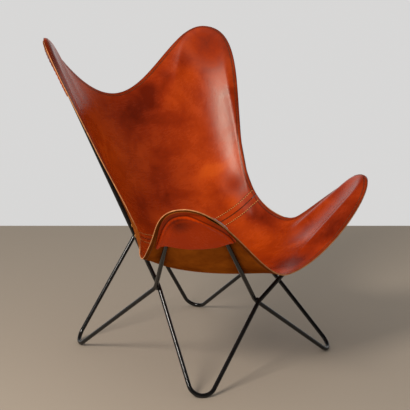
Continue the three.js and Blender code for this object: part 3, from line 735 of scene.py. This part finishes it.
# The marked places shift the tone: darker and brighter patches of the hide, some of them painted shade and
# painted highlights.
for layer, weight in ((cloudy, 0.30), (marbled, 0.05), (streaked, 0.09), (given.outputs["ToneAndLight"], 0.19)):
    mixed = math_node("MULTIPLY_ADD", layer, weight, mixed)
tone = shade(tree, "ShaderNodeMapRange", {"Value": mixed, "From Min": 0.232, "From Max": 0.648})
colour = colour_ramp(tree, tone.outputs["Result"], *HIDE_COLOURS)
undarkened = shade(
    tree, "ShaderNodeMapRange", {"Value": given.outputs["ToneAndLight"], "From Min": -0.8, "From Max": 0.0}
)
# Painted light on the front pockets, held back where the hide is marked darker.
painted_light_share = math_node("MULTIPLY", given.outputs["PaintedLight"], undarkened.outputs["Result"])
colour = tinted(painted_light_share, colour, POCKET_PAINTED_LIGHT)
# Painted shade in the grooves: a dark line under each row of stitches and along the seam between the
# panels.
from_row = math_node("ABSOLUTE", math_node("SUBTRACT", given.outputs["Rim"], EDGE_ROW), 0.0)
from_seam_row = math_node("ABSOLUTE", math_node("SUBTRACT", given.outputs["Seam"], SEAM_ROWS), 0.0)
rows = math_node("MAXIMUM", faded(from_row, *GROOVE_FADE), faded(from_seam_row, *GROOVE_FADE))
groove = faded(given.outputs["Seam"], *GROOVE_FADE)
band, rim = faded(given.outputs["Rim"], *BAND_FADE), faded(given.outputs["Rim"], *RIM_FADE)
for mask, strength, tint in (
    (band, 0.35, BAND_COLOUR), (rows, 0.72, GROOVE_SHADE_COLOUR),
    (rim, 0.75, RIM_COLOUR), (groove, 0.85, SEAM_SHADE_COLOUR),
):
    colour = tinted(math_node("MULTIPLY", mask, strength), colour, tint)
grain = shade(
    tree, "ShaderNodeTexVoronoi", {"Vector": place, "Scale": 900, "Randomness": 1.0},
    feature="DISTANCE_TO_EDGE",
)
pebble = shade(tree, "ShaderNodeMapRange", {"Value": grain.outputs["Distance"], "From Max": 0.18})
crease = noise(place, 30, 4, 0.5, 0.6)
height = math_node("MULTIPLY_ADD", crease, 2.4, math_node("MULTIPLY", pebble.outputs["Result"], 0.3))
height = math_node("MULTIPLY_ADD", streaked, 0.6, height)
height = math_node("MULTIPLY_ADD", math_node("MAXIMUM", rows, groove), -2.0, height)
rough = shade(
    tree, "ShaderNodeMapRange",
    {"Value": math_node("MULTIPLY_ADD", streaked, 0.6, cloudy), "From Min": 0.55, "From Max": 1.05,
     "To Min": 0.21, "To Max": 0.32},
)
rough = math_node("MULTIPLY_ADD", given.outputs["Dull"], 0.6, rough.outputs["Result"])
shade(tree, "NodeGroupOutput", {"Colour": colour, "Roughness": rough, "Height": height})


def grain_finish(name, painted_light_share, shine):
    """The smooth side of the hide, more or less shiny, with a share of the brighter, redder painted light.
    """
    finish, tree, surface = new_finish(name)
    hide = shade(tree, "ShaderNodeGroup", node_tree=hide_tone)
    tree.links.new(shade(tree, "ShaderNodeTexCoord").outputs["Object"], hide.inputs["Place"])
    for mark, socket in (("rim", "Rim"), ("seam", "Seam"), ("tone_and_light", "ToneAndLight"), ("dull", "Dull")):
        value = shade(tree, "ShaderNodeAttribute", attribute_name=mark)
        tree.links.new(value.outputs["Fac"], hide.inputs[socket])
    hide.inputs["PaintedLight"].default_value = painted_light_share
    bump = shade(
        tree, "ShaderNodeBump", {"Height": hide.outputs["Height"], "Strength": 0.18, "Distance": 0.0005}
    )
    tree.links.new(hide.outputs["Colour"], surface.inputs["Base Color"])
    tree.links.new(hide.outputs["Roughness"], surface.inputs["Roughness"])
    tree.links.new(bump.outputs["Normal"], surface.inputs["Normal"])
    surface.inputs["Specular IOR Level"].default_value = shine
    surface.inputs["Specular Tint"].default_value = (1.0, 0.88, 0.76, 1)
    return finish


grain_side = grain_finish("cognac_grain", 0.0, 0.23)
# The front pockets' finish mixes in the brighter, redder painted light.
pocket_grain_painted_light = grain_finish("cognac_pocket_grain", 0.6, 0.08)

flesh_side, tree, surface = new_finish("raw_flesh_side")
place = shade(tree, "ShaderNodeTexCoord").outputs["Object"]
raw = colour_ramp(
    tree, noise(place, 9, 6, 0.65), (0.36, (0.20, 0.043, 0.004, 1)), (0.66, (0.42, 0.105, 0.009, 1))
)
nap = noise(place, 900, 4, 0.7)
bump = shade(tree, "ShaderNodeBump", {"Height": nap, "Strength": 0.5, "Distance": 0.0008})
# Painted shade: a dark band along the flesh side's edges.
rim = shade(tree, "ShaderNodeAttribute", attribute_name="rim").outputs["Fac"]
painted_edge_shade = math_node("MULTIPLY", faded(rim, *EDGE_SHADE_FADE), 0.6)
colour = tinted(painted_edge_shade, raw, (0.08, 0.018, 0.003, 1))
tree.links.new(colour, surface.inputs["Base Color"])
tree.links.new(bump.outputs["Normal"], surface.inputs["Normal"])
surface.inputs["Roughness"].default_value = 0.9
surface.inputs["Specular IOR Level"].default_value = 0.0

cut_edge, tree, surface = new_finish("pale_cut_edge")
place = shade(tree, "ShaderNodeTexCoord").outputs["Object"]
fibre = noise(place, 70, 6, 0.75)
pale = colour_ramp(tree, fibre, (0.32, (0.24, 0.065, 0.014, 1)), (0.7, (0.60, 0.26, 0.08, 1)))
bump = shade(tree, "ShaderNodeBump", {"Height": fibre, "Strength": 0.3, "Distance": 0.0006})
tree.links.new(pale, surface.inputs["Base Color"])
tree.links.new(bump.outputs["Normal"], surface.inputs["Normal"])
surface.inputs["Roughness"].default_value = 0.7


# Seat and back panels
# Two pieces of the hide, butted together at the cross seam behind the seat. Each is a sheet laid in
# the hung shape, thickened, with its cut edges a little rounded.
SEAM_GAP = 0.0004
EDGE_ROUNDING = 0.22


def leather_sheet(name, grid, marks, thickness, finish, edge=cut_edge):
    """A flat grid moved to the hung places, thickened and rounded at its cut edges."""
    rows, columns = grid.shape[0] - 1, grid.shape[1] - 1
    bpy.ops.object.select_all(action="DESELECT")
    bpy.ops.mesh.primitive_grid_add(x_subdivisions=columns, y_subdivisions=rows, size=1)
    sheet = bpy.context.object
    sheet.name = name
    sheet.data.vertices.foreach_set("co", grid.ravel())
    for mark, values in marks.items():
        sheet.data.attributes.new(mark, "FLOAT", "POINT").data.foreach_set("value", values.ravel())
    for material in (finish, flesh_side, edge):
        sheet.data.materials.append(material)
    wall = sheet.modifiers.new("thickness", "SOLIDIFY")
    wall.thickness, wall.offset = thickness, 0
    wall.material_offset, wall.material_offset_rim = 1, 2
    bpy.ops.object.modifier_apply(modifier=wall.name)
    rounding = sheet.modifiers.new("rounding", "BEVEL")
    rounding.width, rounding.segments = thickness * EDGE_ROUNDING, 2
    rounding.limit_method, rounding.angle_limit = "ANGLE", math.radians(50)
    bpy.ops.object.modifier_apply(modifier=rounding.name)
    bpy.ops.object.shade_smooth()
    return sheet


def panel_grid(first, last):
    """The rows of the sling in one panel, drawn back from the seam by half its gap."""
    grid = sling[first:last + 1].copy()
    seam, beyond = (-1, -2) if first == 0 else (0, 1)
    away = grid[beyond] - grid[seam]
    grid[seam] += away / np.linalg.norm(away, axis=1, keepdims=True) * SEAM_GAP / 2
    return grid


for name, node, first, last in (
    ("leather_seat", "seat_panel", 0, SEAM_ROW),
    ("leather_back", "back_panel", SEAM_ROW, ROWS),
):
    grid = panel_grid(first, last)
    marks = {"rim": rim_distance[first:last + 1], "seam": seam_distance[first:last + 1],
             "tone_and_light": spread(grid, TONE_AND_LIGHT_PLACES), "dull": spread(grid, DULL_PLACES)}
    panel = leather_sheet(name, grid, marks, LEATHER, grain_side)
    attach(panel, "root")
    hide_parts(node)


# Seam strip
# A strip of thin hide behind the cross seam, which the two rows of stitches sew to both panels. It ends
# inside the rods that the sling's sides rest on.
STRIP_WIDTH, STRIP, STRIP_GAP = 0.048, 0.0016, 0.0001
STRIP_END = 32
# How far apart the rows of the sling lie beside the seam.
ROW_SPACING = 0.0041
strip_across = np.linspace(-1, 1, 13)[:, None]
strip_columns = np.arange(STRIP_END, COLUMNS + 1.0 - STRIP_END)
strip_rows = SEAM_ROW + strip_across * (STRIP_WIDTH / 2) / ROW_SPACING
strip_place = np.broadcast_arrays(strip_rows, strip_columns)
strip_normals = between_points(sling_normals, *strip_place)
strip_grid = between_points(sling, *strip_place) - strip_normals * ((LEATHER + STRIP) / 2 + STRIP_GAP)
# The strip's rim mark lays that painted shade along both its edges.
from_edge = EDGE_SHADE_FADE[0] + (1 - np.abs(strip_across)) * STRIP_WIDTH / 2
strip_marks = {"rim": np.broadcast_to(from_edge, strip_grid.shape[:2]).copy()}
strip = leather_sheet("leather_seam_strip", strip_grid, strip_marks, STRIP, flesh_side)
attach(strip, "root")
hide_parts("seam_strip")


# Corner pockets
# Under each tip a piece of the same hide, grain side out, is sewn just inside the sling's edge. It passes
# round the outside of the rod, taut over it, and ends in a hollow mouth with a tongue along either edge.
POCKET = 0.0022
POCKET_INSET = 0.005
POCKET_SEWN = 0.020
POCKET_TONGUE = 0.012
POCKET_NARROWING = 0.013
POCKET_ROUND = 0.015
# The mouth, from its end beside the sling's end edge to its end beside the side edge, in shares of both.
POCKET_MOUTH = np.array([
    (0.11, 1.0), (0.18, 0.95), (0.33, 0.88), (0.48, 0.76), (0.62, 0.61),
    (0.70, 0.48), (0.75, 0.37), (0.80, 0.27), (0.90, 0.18), (1.0, 0.15),
])
POCKET_CLEAR = ROD_RADIUS + POCKET / 2 + 0.0004
POCKET_GAP = 0.0002
POCKET_STEP, POCKET_RINGS = 0.0042, 60
POCKET_BELLY, POCKET_ROUNDS = 0.000007, 900
# The roll inside the sewn edge: how far it stands out, its gathers, its place and its width.
POCKET_ROLL, POCKET_GATHER, POCKET_PUCKER = 0.0028, 0.014, 0.25
ROLL_PLACE, ROLL_WIDTH = POCKET_SEWN + 0.0050, 0.0045


def pocket_grid(end, side, along_end, along_side):
    """A pocket from its sewn rim to its mouth, and its distance from the sling's edge."""
    lobe = LOBES[end, side]
    outwards = slice(MIDDLE, None) if side == LEFT else slice(MIDDLE, None, -1)
    points, normals, rims = sling[:, outwards], sling_normals[:, outwards], rim_distance[:, outwards, None]
    tip_row, rows_in = (0, 1) if end == "front" else (ROWS, -1)
    columns = np.interp(along_end, run_along(points[tip_row, ::-1]), np.arange(MIDDLE + 1))
    rows = np.interp(along_side, run_along(points[::rows_in, -1]), np.arange(ROWS + 1))
    length = along_end + along_side
    share = np.linspace(0, 1, int(length / POCKET_STEP) + 1)
    knee = along_end / length
    rim_column = MIDDLE - columns * np.clip(1 - share / knee, 0, 1)
    rim_row = rows * np.clip((share - knee) / (1 - knee), 0, 1)
    mouth = at_run(np.c_[POCKET_MOUTH, np.zeros(len(POCKET_MOUTH))], share * run_along(POCKET_MOUTH)[-1])
    mouth_row, mouth_column = rows * mouth[:, 0], MIDDLE - columns * mouth[:, 1]

    def place(depth):
        row = tip_row + rows_in * (rim_row + (mouth_row - rim_row) * depth)
        return row, rim_column + (mouth_column - rim_column) * depth

    fine = np.linspace(0, 1, 121)
    reach = np.maximum.accumulate(between_points(rims, *place(fine[:, None]))[..., 0])
    insets = POCKET_INSET + POCKET_NARROWING * np.clip((share - knee) / (1 - knee), 0, 1) ** 2
    start = np.array([np.interp(inset, reached, fine) for inset, reached in zip(insets, reach.T)])
    from_end = np.minimum(share, 1 - share) * length / POCKET_TONGUE
    full = np.sqrt(1 - (1 - np.clip(from_end, 0.03, 1)) ** 2)
    middle = (start + 1) / 2
    first, last = middle + (start - middle) * full, middle + (1 - middle) * full
    row, column = place(first + (last - first) * np.linspace(0, 1, POCKET_RINGS + 1)[:, None])
    spot, normal = between_points(points, row, column), between_points(normals, row, column)
    normal /= np.linalg.norm(normal, axis=2, keepdims=True)
    rim = between_points(rims, row, column)[..., 0]
    under = (LEATHER + POCKET) / 2 + POCKET_GAP
    level = ((spot - normal * under) - lobe["tip"]) @ lobe["inward"]
    beside, above = (v.reshape(level.shape) for v in beside_and_above(spot.reshape(-1, 3), lobe))
    outside = (spot - lobe["tip"]) @ lobe["inward"] - above - POCKET_CLEAR
    outside += beside ** 2 / (2 * POCKET_ROUND)
    limit = np.where(beside < RIDGE_HALF, np.minimum(level, outside), level)
    sewn = (rim < POCKET_SEWN) & (beside > RIDGE_HALF)
    sewn[:, 0] = sewn[:, -1] = True
    held = limit.copy()
    for _ in range(POCKET_ROUNDS):
        wide = np.pad(held, 1, mode="edge")
        eased = (wide[2:, 1:-1] + wide[:-2, 1:-1] + wide[1:-1, 2:] + wide[1:-1, :-2]) / 4 - POCKET_BELLY
        held = np.where(sewn, level, np.minimum(eased, limit))
    gathers = full ** 2 * (1 + POCKET_PUCKER * np.sin(share * length * 2 * math.pi / POCKET_GATHER))
    held -= POCKET_ROLL * gathers * np.exp(-((rim - ROLL_PLACE) / ROLL_WIDTH) ** 2)
    return spot - normal * under + lobe["inward"] * (held - level)[..., None], rim


for end, along_end, along_side in (("front", 0.185, 0.205), ("back", 0.190, 0.212)):
    for name, side in (("left", LEFT), ("right", RIGHT)):
        order = slice(None, None, -1) if (side == RIGHT) != (end == "front") else slice(None)
        grid, rim = (part[:, order] for part in pocket_grid(end, side, along_end, along_side))
        marks = {"rim": np.maximum(rim - POCKET_SEWN + EDGE_ROW, 0.003), "seam": np.ones(rim.shape),
                 "tone_and_light": spread(grid, TONE_AND_LIGHT_PLACES)}
        finish = pocket_grain_painted_light if end == "front" else grain_side
        piece = leather_sheet(f"leather_pocket_{end}_{name}", grid, marks, POCKET, finish, flesh_side)
        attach(piece, "root")
        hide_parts(f"pocket_{end}_{name}")


# Stitching
# Waxed thread, lockstitched: brown in the row inside the sling's edge, tan in the two rows beside the seam.
# Each stitch is a short slack of thread that dips into its holes, seen on both faces of the leather.
EDGE_PITCH, SEAM_PITCH = 0.0052, 0.0070
STITCH_HALF, STITCH_THICK, STITCH_LONG, STITCH_DIP = 0.0008, 0.0007, 0.0020, 0.0003
SEAM_STITCH = np.array([1.55, 1.3, 1.05])
SEAM_SEWN = np.arange(7.0, COLUMNS - 3)
bpy.ops.object.select_all(action="DESELECT")
bpy.ops.mesh.primitive_uv_sphere_add(segments=6, ring_count=5, radius=1)
stitch = bpy.context.object
for vertex in stitch.data.vertices:
    along = vertex.co.z
    height = vertex.co.y * STITCH_THICK - STITCH_DIP * along * along
    vertex.co = Vector((vertex.co.x * STITCH_HALF, height, along * STITCH_LONG))
stitch_points = np.array([v.co for v in stitch.data.vertices])
stitch_faces = [tuple(face.vertices) for face in stitch.data.polygons]
bpy.data.objects.remove(stitch)


def thread_finish(name, shadowed, lit):
    """Waxed thread, with the light and shade along its twist painted as a ramp from a shadowed to a lit
    colour.
    """
    finish, tree, surface = new_finish(name)
    place = shade(tree, "ShaderNodeTexCoord").outputs["Object"]
    twist = shade(tree, "ShaderNodeTexNoise", {"Vector": place, "Scale": 240, "Detail": 3})
    colour = colour_ramp(tree, twist.outputs["Fac"], (0.3, shadowed), (0.7, lit))
    tree.links.new(colour, surface.inputs["Base Color"])
    surface.inputs["Roughness"].default_value = 0.55
    return finish


# Each thread's light and shade are painted as a shadowed and a lit colour.
edge_thread = thread_finish("waxed_brown_thread", (0.14, 0.026, 0.004, 1), (0.28, 0.075, 0.014, 1))
tan_thread = thread_finish("waxed_tan_thread", (0.70, 0.27, 0.045, 1), (0.85, 0.44, 0.12, 1))


def sew(name, rows, finish, size, pitch):
    """Copies the stitch along rows of points with the leather's normals there, as one piece."""
    points, faces = [], []
    for line, normals in rows:
        runs = run_along(line)
        count = int(runs[-1] / pitch)
        spots = (np.arange(count) + 0.5) * runs[-1] / count
        middle = at_run(line, spots)
        along = at_run(line, spots + 0.0005) - at_run(line, spots - 0.0005)
        up = np.stack([np.interp(spots, runs, normals[:, k]) for k in range(3)], 1)
        along /= np.linalg.norm(along, axis=1, keepdims=True)
        up -= along * (up * along).sum(1, keepdims=True)
        up /= np.linalg.norm(up, axis=1, keepdims=True)
        side = np.cross(up, along)
        for m, s, u, a in zip(middle, side, up, along):
            base = len(points)
            points.extend(m + stitch_points * size @ np.array([s, u, a]))
            faces.extend(tuple(base + i for i in face) for face in stitch_faces)
    mesh = bpy.data.meshes.new(name)
    mesh.from_pydata([tuple(p) for p in points], [], faces)
    row = bpy.data.objects.new(name, mesh)
    scene.collection.objects.link(row)
    bpy.ops.object.select_all(action="DESELECT")
    row.select_set(True)
    bpy.context.view_layer.objects.active = row
    face_outwards()
    mesh.materials.append(finish)
    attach(row, "root")
    return row


def on_sling(points):
    """Points laid on the sling's middle surface, with the normals there."""
    flat, normals = sling.reshape(-1, 3), sling_normals.reshape(-1, 3)
    laid, up = np.empty_like(points), np.empty_like(points)
    for k, point in enumerate(points):
        distance = ((flat - point) ** 2).sum(1)
        close = np.argpartition(distance, 8)[:8]
        weight = 1 / (distance[close] + 1e-7)
        normal = unit((normals[close] * weight[:, None]).sum(0))
        spot = (flat[close] * weight[:, None]).sum(0) / weight.sum()
        laid[k] = point - normal * ((point - spot) @ normal)
        up[k] = normal
    return laid, up


def inside_edge(line, inset):
    """A line on the sling that runs inside its edge."""
    edge = at_run(line, np.linspace(0, run_along(line)[-1], 500))
    _, up = on_sling(edge)
    along = np.gradient(edge, axis=0)
    inward = np.cross(up, along)
    inward /= np.linalg.norm(inward, axis=1, keepdims=True)
    return on_sling(edge + inward * inset)


def both_faces(line, up, thickness):
    """A row of stitches on the leather's face, and the same row on its back."""
    return [(line + up * (LEATHER / 2), up), (line - up * (thickness - LEATHER / 2), -up)]


seat_rim = np.concatenate([sling[SEAM_ROW:0:-1, 0], sling[0], sling[1:SEAM_ROW + 1, -1]])
back_rim = np.concatenate([
    sling[SEAM_ROW:ROWS, -1], sling[ROWS, ::-1], sling[ROWS - 1:SEAM_ROW - 1:-1, 0],
])
for name, rim in (("leather_seat", seat_rim), ("leather_back", back_rim)):
    line, up = inside_edge(rim, EDGE_ROW)
    sew(f"{name}_thread", both_faces(line, up, LEATHER), edge_thread, 1.0, EDGE_PITCH)
seam_rows = []
for offset in (-SEAM_ROWS, SEAM_ROWS):
    row = np.full(SEAM_SEWN.shape, SEAM_ROW + offset / ROW_SPACING)
    line, up = between_points(sling, row, SEAM_SEWN), between_points(sling_normals, row, SEAM_SEWN)
    seam_rows += both_faces(line, up, LEATHER + STRIP)
seam_thread = sew("leather_seam_thread", seam_rows, tan_thread, SEAM_STITCH, SEAM_PITCH)
